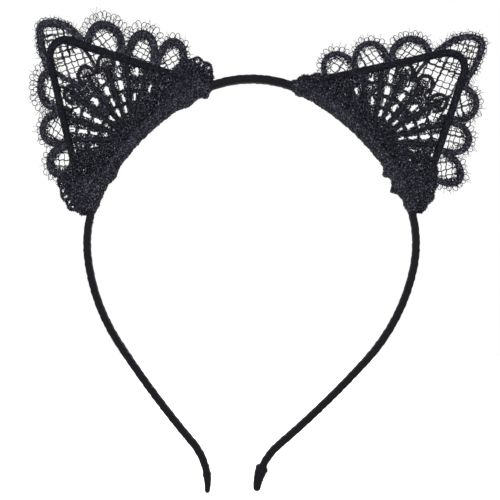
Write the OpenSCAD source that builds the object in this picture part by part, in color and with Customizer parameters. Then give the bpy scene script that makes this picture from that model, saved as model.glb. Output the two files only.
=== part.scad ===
// Cat-ear headband: a sprung steel strip wrapped in satin ribbon, with two wire-framed lace ears sewn to it.
// Everything is drawn lying flat, in the plane of the band, and stand_up() then raises it: +Z is up,
// +X is the wearer's left as seen from the front, and the front faces -Y.
// The origin is where the top of the head touches the inside of the crown.

/* [Band] */
// Width of the steel strip, front to back
strip_width = 5; // [4:0.5:7]
// Thickness of the steel strip
strip_thick = 1.0; // [0.8:0.1:1.2]
// Thickness of the ribbon wound round the strip
ribbon_thick = 0.95; // [0.8:0.05:1.1]
// Radius of the crown, between the ears
crown_radius = 46; // [44:0.5:48]
// Radius of the band under each ear
shoulder_radius = 91; // [88:1:94]
// Radius of the band at the temples
temple_radius = 47; // [45:0.5:49]
// Radius of the upper part of each arm
arm_radius = 76; // [70:1:82]
// Radius of the nearly straight lower part of each arm
lower_radius = 380; // [300:10:450]
// Radius of the outward kick at each tip
kick_radius = 25; // [22:0.5:28]
// Further curl of the right arm over the left
right_curl = 6; // [3:0.5:7]

/* [Tips] */
// Length of strip that the folded ribbon cap covers, in degrees of the kick
cap_sweep = 20; // [14:1:26]
// Thickness of the ribbon in the right cap
right_cap_thick = 0.85; // [0.5:0.05:1]
// Thickness of the ribbon in the left cap
left_cap_thick = 0.5; // [0.3:0.05:1]

/* [Ears] */
// Height of the corner where the two legs of the ear's wire would meet
ear_height = 53.5; // [50:0.5:56]
// Distance of each foot of the wire from the middle of the ear
ear_half_base = 33.25; // [31:0.25:34]
// Lean of the left ear's tip towards the crown
left_lean = 8.5; // [5:0.5:10]
// Lean of the right ear's tip towards the crown
right_lean = 1; // [-3:0.5:3]
// Inner radius of the bend at the wire's tip
tip_bend = 7; // [6:0.5:8]
// Diameter of the ear's wire
wire_dia = 1.2; // [1:0.1:1.4]
// Diameter of the wire with its thread binding
bound_dia = 2.4; // [2.2:0.1:2.6]
// Thickness of the lace's net ground
net_thick = 0.5; // [0.4:0.05:0.7]
// Height of the raised cords above the net
cord_rise = 0.9; // [0.6:0.1:1.2]
// Width of the raised cords
cord_width = 2; // [1.6:0.1:2.2]
// Number of ribs in the fan
rib_count = 9; // [7:2:9]
// Angle between ribs
rib_step = 16.5; // [14:0.5:17]
// Width of each rib
rib_width = 2.2; // [1.6:0.1:2.6]

/* [Sewing] */
// Thickness of the lace wrapped round the band under each ear
wrap_thick = 0.7; // [0.5:0.05:0.9]
// Spacing of the stitches along the band
stitch_pitch = 4; // [3:0.5:6]
// Thickness of the sewing thread
thread_dia = 0.6; // [0.4:0.05:0.8]

/* [Hidden] */
$fn = 64;
SATIN = "#17181c";
LACE = "#121317";
STEEL = "#8d9196";

// Sections of the band, as [thickness, width]
strip = [strip_thick, strip_width];
ribbon = [strip_thick + 2*ribbon_thick, strip_width + 0.8];
wrap = [ribbon[0] + 2*wrap_thick, ribbon[1] + 2*wrap_thick];

// The band's centreline, as arcs of [radius, sweep in degrees] from the top of the crown down one side.
// A negative arc bends outwards.
crown_arcs = [[crown_radius, 29], [shoulder_radius, 31], [temple_radius, 28.5]];
right_arm_arcs = [[temple_radius, 14], [arm_radius, 24 + right_curl], [lower_radius, 7], [-kick_radius, -45]];
left_arm_arcs = [[temple_radius, 8], [arm_radius, 26.5], [lower_radius, 7.2], [-kick_radius, -46]];
facet = 3; // degrees between the places at which a curve is drawn

// A place on the centreline is [x, y, heading], where the heading turns down from the crown's level line.
top = [0, ribbon[0]/2 + 0.65, 0];
function along(p, arc) = [
    p[0] + arc[0]*(sin(p[2] + arc[1]) - sin(p[2])),
    p[1] + arc[0]*(cos(p[2] + arc[1]) - cos(p[2])),
    p[2] + arc[1]
];
function after(p, arcs, count) = count == 0 ? p : along(after(p, arcs, count - 1), arcs[count - 1]);
function ahead(p, run) = [p[0] + run*cos(p[2]), p[1] - run*sin(p[2]), p[2]];
function facets(arc) = ceil(abs(arc[1])/facet);
function places(p, arcs) = concat([p],
    [for (i = [0:len(arcs) - 1], k = [1:facets(arcs[i])])
        along(after(p, arcs, i), [arcs[i][0], arcs[i][1]*k/facets(arcs[i])])]);
function beside(p, d) = [p[0] + d*sin(p[2]), p[1] + d*cos(p[2])];
function both_sides(half) = concat(
    [for (i = [len(half) - 1:-1:1]) [-half[i][0], half[i][1], -half[i][2]]], half);

flex = after(top, crown_arcs, 3); // where each arm springs outwards
knuckle = ribbon[0]/2 - 0.15;
knuckle_gap = 0.3;
strip_nose = sqrt(pow(knuckle, 2) - pow(strip_thick/2, 2));
strip_short = 3; // degrees of the kick that the steel stops short of
cap_end = 1.2; // length of the cap beyond the ribbon
stitch_slack = 0.04;

// The ear's own frame has its origin on the band's centreline, x along the band away from the crown, y outwards.
ear_station = 19; // degrees along the shoulder arc
ear_place = along(after(top, crown_arcs, 1), [shoulder_radius, ear_station]);
wrap_arcs = [[crown_radius, 6], [shoulder_radius, 31], [temple_radius, 17]];
hinge_rise = 4; // height of the line at which the ear bends
hinge_gap = 0.4; // clearance on each side of that line
ankle_dia = 1.6;
ankle_gap = 0.3;
ankle_length = 3.4;
foot_drop = 4.5;
foot_shift = -1.25; // of the middle between the feet, towards the crown
gather_thick = 4;
loop_tip = 55.2; // height of the apex loop's tip circle
net_top = net_thick/2;
fringe_width = 2.4;
rib_reach = 40; // how far the middle ribs reach from the middle of the base
lap = 0.3; // overlap of the bend in the ear's wire with its legs
swell = 0.06; // by which the bend is thicker than the legs

// Scallops along each leg, as [share of the leg from its foot, radius, distance outwards]
crown_side_scallops = [[0.22, 6.2, 3.6], [0.40, 7.0, 3.1], [0.62, 7.4, 2.1]];
temple_side_scallops = [[0.29, 6.3, 4.4], [0.46, 6.6, 3.6], [0.66, 7.2, 2.4]];

function foot(way) = [way*ear_half_base + foot_shift, -foot_drop];
function corner(lean) = [-lean, ear_height];
function leg(way, lean, share) = foot(way) + share*(corner(lean) - foot(way));
function leg_angle(way, lean) =
    atan2(ear_height + foot_drop, corner(lean)[0] - foot(way)[0]);
function outward(way, lean) = let(a = leg_angle(way, lean)) way*[sin(a), -cos(a)];
// Distance from the fan's centre to the leg, along a ray at an angle from the y axis
function reach(angle, lean) =
    let(way = sin(angle)*ear_height > cos(angle)*corner(lean)[0] ? 1 : -1,
        n = outward(way, lean))
    (foot(way)*n)/([sin(angle), cos(angle)]*n);

module stand_up() rotate([90, 0, 0]) children();

module on_left() mirror([1, 0, 0]) stand_up() children();

module on_right() stand_up() children();

module slab(width) linear_extrude(width, center = true) children();

// The edge-on outline of a band that follows a list of places
module outline(path, thick) {
    polygon(concat([for (p = path) beside(p, thick/2)],
        [for (i = [len(path) - 1:-1:0]) beside(path[i], -thick/2)]));
}

module at_flex(r) translate([flex[0], flex[1]]) circle(r);

// The rounded end on which an arm turns, from the outer side of the band to the inner
function nose(p, r) = [for (t = [80:-20:-80])
    [p[0] + r*cos(p[2] - t), p[1] - r*sin(p[2] - t)]];

module on_ear() translate([ear_place[0], ear_place[1], 0]) rotate([0, 0, -ear_place[2]]) children();

// ---- Band ----

crown_half = places(top, crown_arcs);
crown_path = both_sides(crown_half);
crown_strip_path = both_sides(concat(crown_half, [ahead(flex, strip_nose)]));

module crown_spring_strip() color(STEEL) slab(strip[1]) outline(crown_strip_path, strip[0]);

module crown_outline() {
    right = nose(flex, knuckle);
    left = [for (i = [len(right) - 1:-1:0]) [-right[i][0], right[i][1]]];
    last = len(crown_path) - 1;
    polygon(concat([for (p = crown_path) beside(p, ribbon[0]/2)], right,
        [for (i = [last:-1:0]) beside(crown_path[i], -ribbon[0]/2)], left));
}

module crown_ribbon() {
    color(SATIN) difference() {
        slab(ribbon[1]) crown_outline();
        slab(strip[1]) outline(both_sides(concat(crown_half, [ahead(flex, 2*knuckle)])), strip[0]);
    }
}

// The steel stops short of the tip
function steel_path(arcs) =
    places(flex, [arcs[0], arcs[1], arcs[2], [arcs[3][0], arcs[3][1] + strip_short]]);

module clear_of_knuckle() {
    difference() {
        children();
        at_flex(knuckle + knuckle_gap);
    }
}

module arm_spring_strip(arcs) {
    color(STEEL) slab(strip[1]) clear_of_knuckle() outline(steel_path(arcs), strip[0]);
}

module arm_ribbon(arcs) {
    color(SATIN) difference() {
        slab(ribbon[1]) clear_of_knuckle() outline(places(flex, arcs), ribbon[0]);
        slab(strip[1]) outline(concat([ahead(flex, -1)], steel_path(arcs)), strip[0]);
    }
}

module tip_cap(arcs, thick) {
    kick_start = after(flex, arcs, 3);
    kick_end = after(flex, arcs, 4);
    bare = arcs[3][1] + cap_sweep;
    covered = concat([for (p = places(along(kick_start, [-kick_radius, bare]), [[-kick_radius, -cap_sweep]])) p],
        [ahead(kick_end, cap_end)]);
    color(SATIN) difference() {
        slab(ribbon[1] + 2*thick) outline(covered, ribbon[0] + 2*thick);
        slab(ribbon[1]) outline(places(flex, arcs), ribbon[0]);
    }
}

// ---- Lace sewn to the band ----

wrap_path = places(along(after(top, crown_arcs, 1), [crown_radius, -wrap_arcs[0][1]]), wrap_arcs);

module wrap_solid() slab(wrap[1]) outline(wrap_path, wrap[0]);

module ear_base_wrap() {
    color(LACE) difference() {
        wrap_solid();
        slab(ribbon[1]) outline(crown_path, ribbon[0]);
    }
}

module at_stitches() {
    step = stitch_pitch/shoulder_radius*180/PI;
    for (i = [0:floor(crown_arcs[1][1]/step) - 1]) {
        p = along(after(top, crown_arcs, 1), [shoulder_radius, (i + 0.5)*step]);
        translate([p[0], p[1], 0]) rotate([0, 0, -p[2]]) children();
    }
}

// Loops of thread round the wrapped band, evenly spaced along the shoulder arc
module ear_stitches() {
    hole = [thread_dia + 1, wrap[0] + 2*stitch_slack, wrap[1] + 2*stitch_slack];
    color(LACE) at_stitches() difference() {
        cube([thread_dia, hole[1] + 2*thread_dia, hole[2] + 2*thread_dia], center = true);
        cube(hole, center = true);
    }
}

// A bunched corner of the lace, between the band and the line at which the ear bends
module gather(way, lean, edge, round_at, round_radius) {
    color(LACE) difference() {
        on_ear() slab(gather_thick) difference() {
            union() {
                polygon(edge);
                translate(round_at) circle(round_radius);
            }
            translate([-60, hinge_rise - hinge_gap]) square([120, 40]);
        }
        wrap_solid();
        slab(ribbon[1]) outline(crown_path, ribbon[0]);
        at_stitches() cube([thread_dia + 0.2, wrap[0] + 2*thread_dia + 0.4, 2*wrap[1]], center = true);
        on_ear() leg_tube(way, lean, bound_dia, -4, hinge_rise + 4);
        at_ankle(way, lean, ankle_dia + 2*ankle_gap);
    }
}

module ear_upper_gather(lean) {
    gather(-1, lean, [[-36, 2], [-31, -6.5], [-16, -1], [-4, 1], [-4, 3.6], [-30, 3.6]], [-34, -1.5], 5.5);
}

module ear_lower_gather(lean) {
    gather(1, lean, [[35, 1], [31, -6], [18, -1], [4, 1], [4, 3.6], [30, 3.6]], [31.5, -1.5], 5);
}

// ---- The ear's wire ----

// A straight stretch of one leg of the wire, from height low to height high
module leg_tube(way, lean, d, low, high) {
    f = foot(way);
    run = (corner(lean) - f)/(ear_height + foot_drop);
    from = f + run*(low + foot_drop);
    to = f + run*(high + foot_drop);
    translate([from[0], from[1], 0]) rotate([0, 0, leg_angle(way, lean)]) rotate([0, 90, 0])
        cylinder(d = d, h = norm(to - from));
}

// The wire's loop: two legs joined by a bend at the tip, from a height upwards
module loop_tube(lean, d, low, hole = 0) {
    a_out = leg_angle(1, lean);
    half = (a_out - leg_angle(-1, lean))/2;
    bend = tip_bend + bound_dia/2;
    centre = corner(lean) - bend/cos(90 - half)*[cos(a_out - half), sin(a_out - half)];
    for (way = [-1, 1]) {
        f = foot(way);
        from = f + (corner(lean) - f)/(ear_height + foot_drop)*(low + foot_drop);
        translate([from[0], from[1], 0]) rotate([0, 0, leg_angle(way, lean)]) rotate([0, 90, 0])
            linear_extrude(norm(centre + bend*outward(way, lean) - from) + lap) ring(d, hole);
    }
    translate([centre[0], centre[1], 0]) rotate([0, 0, a_out - 90]) rotate_extrude(angle = 180 - 2*half)
        translate([bend, 0]) ring(d + swell, hole == 0 ? 0 : hole + swell);
}

module ring(d, hole) {
    difference() {
        circle(d = d);
        if (hole > 0) circle(d = hole);
    }
}

// The place at which a leg of the wire bends, as a short round bar along the line of the bend
module at_ankle(way, lean, d) {
    spot = foot(way) + (corner(lean) - foot(way))*(hinge_rise + foot_drop)/(ear_height + foot_drop);
    on_ear() translate([spot[0], spot[1], 0]) rotate([0, 90, 0]) cylinder(d = d, h = ankle_length, center = true);
}

module ear_wire_feet(lean) {
    color(LACE) difference() {
        union() for (way = [-1, 1]) {
            on_ear() leg_tube(way, lean, bound_dia, -4, hinge_rise - hinge_gap);
            at_ankle(way, lean, ankle_dia);
        }
        wrap_solid();
        slab(ribbon[1]) outline(crown_path, ribbon[0]);
    }
}

module clear_of_ankles(lean) {
    difference() {
        children();
        for (way = [-1, 1]) at_ankle(way, lean, ankle_dia + 2*ankle_gap);
    }
}

module ear_wire(lean) {
    color(STEEL) clear_of_ankles(lean) on_ear() loop_tube(lean, wire_dia, hinge_rise + hinge_gap);
}

module ear_wire_binding(lean) {
    color(LACE) clear_of_ankles(lean)
        on_ear() loop_tube(lean, bound_dia, hinge_rise + hinge_gap, wire_dia + 0.06);
}

// ---- The ear's lace ----

module leg_strip(lean, wide) {
    for (way = [-1, 1]) {
        f = foot(way);
        translate(f) rotate(leg_angle(way, lean))
            translate([0, -wide/2]) square([norm(corner(lean) - f), wide]);
    }
}

module at_scallops(lean) {
    for (way = [-1, 1], s = way < 0 ? crown_side_scallops : temple_side_scallops)
        translate(leg(way, lean, s[0]) + s[2]*outward(way, lean)) {
            $radius = s[1];
            children();
        }
}

// The pointed loop at the tip: a large and a small circle joined along their common tangents
module apex_outline(lean, inset) {
    low = [-lean, 45.5];
    high = [-lean*1.15, loop_tip];
    r = [8.4 - inset, 3.6 - inset];
    run = high - low;
    turn = atan2(run[1], run[0]);
    side = acos((r[0] - r[1])/norm(run));
    translate(low) circle(r[0]);
    translate(high) circle(r[1]);
    polygon([for (a = [turn + side, turn - side], k = a > turn ? [0, 1] : [1, 0])
        (k == 0 ? low : high) + r[k]*[cos(a), sin(a)]]);
}

module panel_outline(lean) polygon([foot(-1), corner(lean), foot(1)]);

module above_hinge() {
    intersection() {
        children();
        translate([-80, hinge_rise + hinge_gap]) square([160, 80]);
    }
}

// Keeps lace of a layer clear of the bound wire
module clear_of_wire(lean) {
    clear_of_ankles(lean) difference() {
        children();
        on_ear() loop_tube(lean, bound_dia, hinge_rise - 2);
    }
}

module layer(low, high) on_ear() translate([0, 0, low]) linear_extrude(high - low) above_hinge() children();

module ear_net(lean) {
    color(LACE) clear_of_wire(lean) layer(-net_top, net_top) {
        difference() {
            panel_outline(lean);
            translate([0, ear_height - 3]) square([60, 20], center = true);
        }
        at_scallops(lean) circle($radius);
        apex_outline(lean, 0);
    }
}

module ear_scallop_cords(lean) {
    color(LACE) clear_of_wire(lean) layer(net_top, net_top + cord_rise) difference() {
        at_scallops(lean) difference() {
            circle($radius);
            circle($radius - cord_width);
        }
        panel_outline(lean);
        leg_strip(lean, bound_dia + 0.4);
        apex_outline(lean, 0);
    }
}

module ear_apex_loop(lean) {
    color(LACE) clear_of_wire(lean) layer(net_top, net_top + cord_rise) difference() {
        apex_outline(lean, 0);
        apex_outline(lean, cord_width);
        panel_outline(lean);
    }
}

module ear_picot_fringe(lean) {
    color(LACE) clear_of_wire(lean) layer(-net_top, net_top) difference() {
        union() {
            at_scallops(lean) circle($radius + fringe_width);
            apex_outline(lean, -fringe_width/2);
        }
        at_scallops(lean) circle($radius);
        apex_outline(lean, 0);
        panel_outline(lean);
        leg_strip(lean, 5);
    }
}

// Ribs that fan out from the middle of the base, with a round lobe at the end of each and bars between them
module ear_fan_ribs(lean) {
    half = (rib_count - 1)/2;
    lobe = 2.6;
    color(LACE) clear_of_wire(lean) layer(net_top, net_top + cord_rise) {
        for (i = [-half:half]) {
            angle = i*rib_step - lean/2;
            length = min(reach(angle, lean), rib_reach) - 2*lobe - bound_dia;
            rotate(-angle) {
                translate([-rib_width/2, 3]) square([rib_width, length - 3]);
                translate([0, length]) circle(lobe);
            }
        }
        for (r = [12, 17])
            difference() {
                circle(r + 0.5);
                circle(r - 0.5);
            }
    }
}

on_right() crown_spring_strip();
on_right() crown_ribbon();
on_left() arm_spring_strip(left_arm_arcs);  // left_arm_spring_strip
on_left() arm_ribbon(left_arm_arcs);  // left_arm_ribbon
on_left() tip_cap(left_arm_arcs, left_cap_thick);  // left_tip_cap
on_right() arm_spring_strip(right_arm_arcs);  // right_arm_spring_strip
on_right() arm_ribbon(right_arm_arcs);  // right_arm_ribbon
on_right() tip_cap(right_arm_arcs, right_cap_thick);  // right_tip_cap
on_left() ear_base_wrap();  // left_ear_base_wrap
on_left() ear_stitches();  // left_ear_stitches
on_left() ear_upper_gather(left_lean);  // left_ear_upper_gather
on_left() ear_lower_gather(left_lean);  // left_ear_lower_gather
on_left() ear_wire_feet(left_lean);  // left_ear_wire_feet
on_left() ear_wire(left_lean);  // left_ear_wire
on_left() ear_wire_binding(left_lean);  // left_ear_wire_binding
on_left() ear_net(left_lean);  // left_ear_net
on_left() ear_fan_ribs(left_lean);  // left_ear_fan_ribs
on_left() ear_scallop_cords(left_lean);  // left_ear_scallop_cords
on_left() ear_apex_loop(left_lean);  // left_ear_apex_loop
on_left() ear_picot_fringe(left_lean);  // left_ear_picot_fringe
on_right() ear_base_wrap();  // right_ear_base_wrap
on_right() ear_stitches();  // right_ear_stitches
on_right() ear_upper_gather(right_lean);  // right_ear_upper_gather
on_right() ear_lower_gather(right_lean);  // right_ear_lower_gather
on_right() ear_wire_feet(right_lean);  // right_ear_wire_feet
on_right() ear_wire(right_lean);  // right_ear_wire
on_right() ear_wire_binding(right_lean);  // right_ear_wire_binding
on_right() ear_net(right_lean);  // right_ear_net
on_right() ear_fan_ribs(right_lean);  // right_ear_fan_ribs
on_right() ear_scallop_cords(right_lean);  // right_ear_scallop_cords
on_right() ear_apex_loop(right_lean);  // right_ear_apex_loop
on_right() ear_picot_fringe(right_lean);  // right_ear_picot_fringe
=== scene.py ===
"""Cat-ear headband: a sprung strip wound with satin ribbon, and two wire-framed ears of embroidered lace.

Lengths are in millimetres until a mesh is made, and in metres after that. Each ear is drawn flat in its
own plane, with x along the band away from the crown, y outwards and h towards the front, and is then laid
in place.
"""

import logging
import math
from dataclasses import dataclass, field
from enum import Enum
from typing import Callable, ClassVar

import bpy
import numpy as np
from bpy.types import Material, Node, NodeSocket, NodeTree, Object
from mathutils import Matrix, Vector

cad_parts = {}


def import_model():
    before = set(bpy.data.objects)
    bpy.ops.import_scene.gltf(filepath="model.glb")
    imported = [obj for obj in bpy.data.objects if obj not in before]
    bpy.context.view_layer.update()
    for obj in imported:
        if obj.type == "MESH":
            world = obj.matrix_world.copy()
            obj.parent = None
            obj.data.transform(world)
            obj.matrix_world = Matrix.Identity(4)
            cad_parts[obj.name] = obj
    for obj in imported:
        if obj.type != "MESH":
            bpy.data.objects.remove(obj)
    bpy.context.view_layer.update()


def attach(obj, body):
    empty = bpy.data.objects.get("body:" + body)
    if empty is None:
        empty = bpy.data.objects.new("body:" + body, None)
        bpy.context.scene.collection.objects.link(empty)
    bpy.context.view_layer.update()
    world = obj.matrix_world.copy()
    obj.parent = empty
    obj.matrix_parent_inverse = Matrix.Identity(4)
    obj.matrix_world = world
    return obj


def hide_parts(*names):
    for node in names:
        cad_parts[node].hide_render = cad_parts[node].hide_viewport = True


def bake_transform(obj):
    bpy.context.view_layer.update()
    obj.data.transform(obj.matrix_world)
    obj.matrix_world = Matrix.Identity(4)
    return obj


log = logging.getLogger("headband")

MM = 0.001
CROWN = "band_crown"
FULL_TURN = 2 * math.pi
FRONT = np.array([0.0, 0.0, 1.0])  # the way to the front in an ear's drawing
Arcs = tuple[tuple[float, float], ...]
Route = tuple[tuple[float, float], ...]
Section = tuple[np.ndarray, np.ndarray, np.ndarray]  # half thickness, half width and outward shift
SectionRule = Callable[[np.ndarray, np.ndarray], Section]


class Side(Enum):
    """Which half of the headband, as the sign of its X."""

    LEFT = -1
    RIGHT = 1

    @property
    def word(self) -> str:
        """The side's name in node and body names."""
        return self.name.lower()


# ---- Materials ----


def linear(hex_colour: str) -> tuple[float, float, float, float]:
    """Turns an sRGB hex colour to the linear values that a shader takes.

    Args:
        hex_colour: Six hex digits after a hash sign.

    Returns:
        Red, green, blue and an alpha of 1.
    """
    parts = [int(hex_colour[i : i + 2], 16) / 255 for i in (1, 3, 5)]
    r, g, b = (c / 12.92 if c <= 0.04045 else ((c + 0.055) / 1.055) ** 2.4 for c in parts)
    return (r, g, b, 1.0)


def add_node(tree: NodeTree, kind: str, inputs: dict | None = None, **settings) -> Node:
    """Adds a shader node, with its settings, values and links.

    Args:
        tree: The material's node tree.
        kind: The node's Blender type, without the ShaderNode prefix.
        inputs: Input name or number to a value, or to the output socket that feeds it.
        settings: The node's own properties.

    Returns:
        The new node.
    """
    node = tree.nodes.new("ShaderNode" + kind)
    for name, value in settings.items():
        setattr(node, name, value)
    for name, value in (inputs or {}).items():
        if isinstance(value, NodeSocket):
            tree.links.new(value, node.inputs[name])
        else:
            node.inputs[name].default_value = value
    return node


def blank_material(name: str) -> tuple[Material, NodeTree, Node]:
    """Starts a material with a bare principled shader.

    Args:
        name: The material's name.

    Returns:
        The material, its node tree and its principled shader.
    """
    material = bpy.data.materials.new(name)
    material.use_nodes = True
    tree = material.node_tree
    return material, tree, tree.nodes["Principled BSDF"]


def two_tone(tree: NodeTree, factor: NodeSocket, low: str, high: str) -> NodeSocket:
    """Mixes two hex colours by a factor.

    Args:
        tree: The material's node tree.
        factor: Socket that runs from 0 to 1.
        low: Hex colour at 0.
        high: Hex colour at 1.

    Returns:
        The colour socket.
    """
    mix = add_node(tree, "Mix", data_type="RGBA")
    tree.links.new(factor, mix.inputs["Factor"])
    mix.inputs["A"].default_value = linear(low)
    mix.inputs["B"].default_value = linear(high)
    return mix.outputs["Result"]


@dataclass(frozen=True)
class SatinRibbon:
    """Polyester satin ribbon, woven: its soft streaky gloss over a near-black is partly real gloss and
    partly painted sheen, a lighter colour in streaks along the warp.
    """

    name: str = "polyester_satin_ribbon_woven"
    shade: str = "#050508"
    # lighter colour of the streaks: painted sheen
    painted_sheen: str = "#101015"
    warp_mm: float = 0.3  # drawn coarser than the real 0.1 mm, which is too fine to show
    slub_mm: float = 5.0
    warp_rise_mm: float = 0.06
    roughness: tuple[float, float] = (0.5, 0.72)
    gloss: float = 0.06

    def make(self) -> Material:
        """Builds the ribbon's material, whose threads follow the piece's own UVs, which are in mm."""
        material, tree, shader = blank_material(self.name)
        uv = add_node(tree, "UVMap").outputs["UV"]
        warp = add_node(tree, "TexWave", {"Vector": uv, "Scale": 0.5 / self.warp_mm, "Distortion": 1.2,
                                          "Detail": 2.0}, bands_direction="Y").outputs["Fac"]
        slub = add_node(tree, "TexNoise", {"Vector": uv, "Scale": 1 / self.slub_mm,
                                           "Detail": 4.0}).outputs["Fac"]
        # the warp bands times the slubs place the painted sheen colour
        both = add_node(tree, "Math", {0: warp, 1: slub}, operation="MULTIPLY").outputs["Value"]
        tree.links.new(two_tone(tree, both, self.shade, self.painted_sheen), shader.inputs["Base Color"])
        rough_low, rough_high = self.roughness
        rough = add_node(tree, "MapRange", {"Value": slub, "To Min": rough_low, "To Max": rough_high})
        tree.links.new(rough.outputs["Result"], shader.inputs["Roughness"])
        bump = add_node(tree, "Bump", {"Height": warp, "Strength": 0.35,
                                       "Distance": self.warp_rise_mm * MM})
        tree.links.new(bump.outputs["Normal"], shader.inputs["Normal"])
        shader.inputs["Specular IOR Level"].default_value = self.gloss
        return material


@dataclass(frozen=True)
class SpunThread:
    """Spun polyester thread: near-black, with small light flecks mixed into its colour as painted glints of
    its twisted plies.
    """

    name: str
    shade: str
    # colour of the painted glints
    painted_glint: str
    glint_mm: float
    roughness: float = 0.5
    gloss: float = 0.08  # dyed black fibre scatters little, so its gloss is kept low
    glint_range: tuple[float, float] = (0.52, 0.66)  # the noise values between which a painted glint fades in
    ply_rise_mm: float = 0.08

    def make(self) -> Material:
        """Builds the thread's material from noise at the size of a stitch, which places the painted glints,
        and of a ply.
        """
        material, tree, shader = blank_material(self.name)
        place = add_node(tree, "TexCoord").outputs["Object"]
        painted_glint = add_node(tree, "TexNoise", {"Vector": place, "Scale": 1 / (self.glint_mm * MM),
                                            "Detail": 3.0, "Roughness": 0.7}).outputs["Fac"]
        dim, lit = self.glint_range
        crisp = add_node(tree, "MapRange", {"Value": painted_glint, "From Min": dim, "From Max": lit})
        # the lighter colour where the noise is high is painted glints
        tree.links.new(two_tone(tree, crisp.outputs["Result"], self.shade, self.painted_glint),
                       shader.inputs["Base Color"])
        ply = add_node(tree, "TexNoise", {"Vector": place, "Scale": 3 / (self.glint_mm * MM),
                                          "Detail": 2.0})
        bump = add_node(tree, "Bump", {"Height": ply.outputs["Fac"], "Strength": 0.5,
                                       "Distance": self.ply_rise_mm * MM})
        tree.links.new(bump.outputs["Normal"], shader.inputs["Normal"])
        shader.inputs["Roughness"].default_value = self.roughness
        shader.inputs["Specular IOR Level"].default_value = self.gloss
        return material


@dataclass(frozen=True)
class BrushedSteel:
    """Cold-rolled steel, drawn bright: fine lines along its length stretch the highlights."""

    name: str
    shade: str = "#a9adb2"
    scratch_mm: float = 0.2
    groove_shade: str = "#8d9196"
    roughness: tuple[float, float] = (0.25, 0.45)

    def make(self) -> Material:
        """Builds the steel's material, with drawn lines along Z."""
        material, tree, shader = blank_material(self.name)
        place = add_node(tree, "TexCoord").outputs["Object"]
        stretch = add_node(tree, "Mapping", {"Vector": place, "Scale": (1.0, 1.0, 0.05)}).outputs["Vector"]
        lines = add_node(tree, "TexNoise", {"Vector": stretch, "Scale": 1 / (self.scratch_mm * MM)})
        lines = lines.outputs["Fac"]
        tree.links.new(two_tone(tree, lines, self.groove_shade, self.shade), shader.inputs["Base Color"])
        rough_low, rough_high = self.roughness
        rough = add_node(tree, "MapRange", {"Value": lines, "To Min": rough_low, "To Max": rough_high})
        tree.links.new(rough.outputs["Result"], shader.inputs["Roughness"])
        shader.inputs["Metallic"].default_value = 1.0
        return material


@dataclass(frozen=True)
class PaintedFloor:
    """Matt white studio board."""

    name: str = "studio_board_matt_painted"

    def make(self) -> Material:
        """Builds the board's material, with a faint mottle."""
        material, tree, shader = blank_material(self.name)
        place = add_node(tree, "TexCoord").outputs["Object"]
        mottle = add_node(tree, "TexNoise", {"Vector": place, "Scale": 30.0}).outputs["Fac"]
        tree.links.new(two_tone(tree, mottle, "#f6f6f6", "#fafafa"), shader.inputs["Base Color"])
        shader.inputs["Roughness"].default_value = 0.9
        return material


@dataclass
class Wardrobe:
    """The finished materials, by what they dress."""

    ribbon: Material = field(default_factory=lambda: SatinRibbon().make())
    # each thread's second colour is its painted glints
    cord: Material = field(default_factory=lambda: SpunThread(
        "polyester_embroidery_thread_satin_stitched", "#040407", "#4b4d5c", 0.6).make())
    rib: Material = field(default_factory=lambda: SpunThread(
        "polyester_embroidery_thread_corded", "#040407", "#2f313c", 0.6).make())
    net: Material = field(default_factory=lambda: SpunThread(
        "polyester_net_thread_knotted", "#0a0a0e", "#2c2d36", 0.5, 0.6).make())
    wound: Material = field(default_factory=lambda: SpunThread(
        "polyester_binding_thread_close_wound", "#040407", "#262a38", 0.6).make())
    sewing: Material = field(default_factory=lambda: SpunThread(
        "cotton_sewing_thread_twisted", "#050507", "#15151b", 0.4, 0.75, 0.06).make())
    spring: Material = field(default_factory=lambda: BrushedSteel("spring_steel_cold_rolled").make())
    wire: Material = field(default_factory=lambda: BrushedSteel(
        "florist_wire_drawn", "#8b8f94", 0.1).make())


# ---- Thread and sleeve meshes ----


def unit(rows: np.ndarray) -> np.ndarray:
    """Scales each row to a length of 1."""
    return rows / (np.linalg.norm(rows, axis=1, keepdims=True) + 1e-12)


def beside(runs: np.ndarray) -> np.ndarray:
    """Turns directions in the drawing's plane by a quarter turn, to the left."""
    return np.stack([-runs[:, 1], runs[:, 0], np.zeros(len(runs))], 1)


def headings(angles: np.ndarray) -> np.ndarray:
    """Directions in the drawing's plane, at some angles in radians from its x axis."""
    return np.column_stack([np.cos(angles), np.sin(angles), np.zeros(len(angles))])


def ring_quads(rings: int, sides: int, closed: bool = False) -> np.ndarray:
    """Joins the points of rings, numbered ring by ring, with four-sided faces.

    Args:
        rings: Number of rings.
        sides: Number of points in a ring.
        closed: True if the last ring joins the first.

    Returns:
        Point numbers, of shape (faces, 4).
    """
    row = np.arange(rings if closed else rings - 1)[:, None]
    col = np.arange(sides)[None, :]
    here, there, after = row * sides, ((row + 1) % rings) * sides, (col + 1) % sides
    return np.stack([here + col, here + after, there + after, there + col], axis=-1).reshape(-1, 4)


def ring_ends(rings: int, sides: int) -> list[list[int]]:
    """The faces that close the first and the last ring."""
    return [list(range(sides - 1, -1, -1)), [(rings - 1) * sides + k for k in range(sides)]]


def stand_for(piece: Object, slot: str, *nodes: str) -> None:
    """Hides the solids that a piece stands for, and reports the piece.

    Args:
        piece: The piece.
        slot: Not used.
        nodes: Names of the solids, if any.
    """
    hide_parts(*nodes)
    log.info("%s: %d faces", piece.name, len(piece.data.polygons))


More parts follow.
